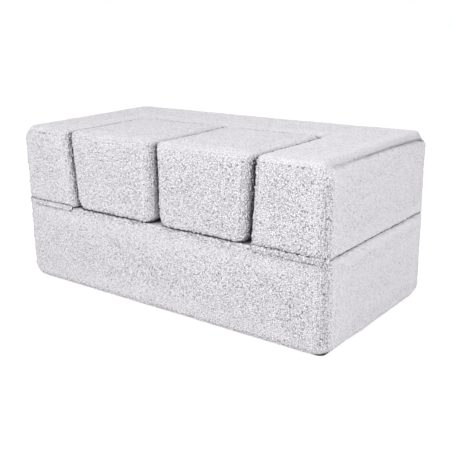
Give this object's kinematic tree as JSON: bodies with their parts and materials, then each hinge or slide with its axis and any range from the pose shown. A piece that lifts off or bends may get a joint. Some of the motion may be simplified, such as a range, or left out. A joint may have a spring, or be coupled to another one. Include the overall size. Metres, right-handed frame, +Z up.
{
  "type": "modular foam play sofa",
  "caption": "Foam base block with a hinged U shaped upper block of arms and back, and loose poufs that fill the U; flips open into a mattress.",
  "frame": {"origin": "centre of the underside, on the floor", "axes": "+X to the right as seen from the front, +Y to the back, +Z up"},
  "size_m": [1.406, 0.7365, 0.6233],
  "materials": {
    "teddy_fabric": "matte",
    "foam": "matte",
    "non_slip_fabric": "matte",
    "zip_tape": "matte",
    "zip_metal": "satin"
  },
  "bodies": {
    "base": {"base_foam_core": "foam", "base_cover": "teddy_fabric", "base_underside": "non_slip_fabric", "base_zip": "zip_tape", "hinge_strip_left": "teddy_fabric", "hinge_strip_right": "teddy_fabric"},
    "base_slider": {"base_zip_slider": "zip_metal"},
    "base_pull": {"base_zip_pull": "zip_metal"},
    "upper": {"left_arm_foam_core": "foam", "right_arm_foam_core": "foam", "back_foam_core": "foam", "upper_cover": "teddy_fabric", "upper_zip": "zip_tape"},
    "upper_slider": {"upper_zip_slider": "zip_metal"},
    "upper_pull": {"upper_zip_pull": "zip_metal"},
    "pouf_left": {"pouf_left_foam_core": "foam", "pouf_left_cover": "teddy_fabric", "pouf_left_zip": "zip_tape"},
    "pouf_left_slider": {"pouf_left_zip_slider": "zip_metal"},
    "pouf_right": {"pouf_right_foam_core": "foam", "pouf_right_cover": "teddy_fabric", "pouf_right_zip": "zip_tape"},
    "pouf_right_slider": {"pouf_right_zip_slider": "zip_metal"}
  },
  "joints": [
    {"name": "upper_flip", "type": "hinge", "parent": "base", "child": "upper", "pos_m": [0, -0.369, 0.31215], "axis": [1, 0, 0], "range_deg": [0, 180], "deforming": ["hinge_strip_left", "hinge_strip_right"]},
    {"name": "pouf_left_lift", "type": "slide", "parent": "upper", "child": "pouf_left", "axis": [0, 0, 1], "range_m": [0, 0.32]},
    {"name": "pouf_right_lift", "type": "slide", "parent": "upper", "child": "pouf_right", "axis": [0, 0, 1], "range_m": [0, 0.32]},
    {"name": "base_zip_slide", "type": "slide", "parent": "base", "child": "base_slider", "axis": [-1, 0, 0], "range_m": [0, 1.1444]},
    {"name": "base_pull_swing", "type": "hinge", "parent": "base_slider", "child": "base_pull", "pos_m": [0.5722, 0.36635, 0.0473], "axis": [0, 0, -1], "range_deg": [0, 180]},
    {"name": "upper_zip_slide", "type": "slide", "parent": "upper", "child": "upper_slider", "axis": [-1, 0, 0], "range_m": [0, 1.1444]},
    {"name": "upper_pull_swing", "type": "hinge", "parent": "upper_slider", "child": "upper_pull", "pos_m": [0.5722, 0.36635, 0.3663], "axis": [0, 0, -1], "range_deg": [0, 180]},
    {"name": "pouf_left_zip_slide", "type": "slide", "parent": "pouf_left", "child": "pouf_left_slider", "axis": [-1, 0, 0], "range_m": [0, 0.2778]},
    {"name": "pouf_right_zip_slide", "type": "slide", "parent": "pouf_right", "child": "pouf_right_slider", "axis": [-1, 0, 0], "range_m": [0, 0.2778]}
  ]
}
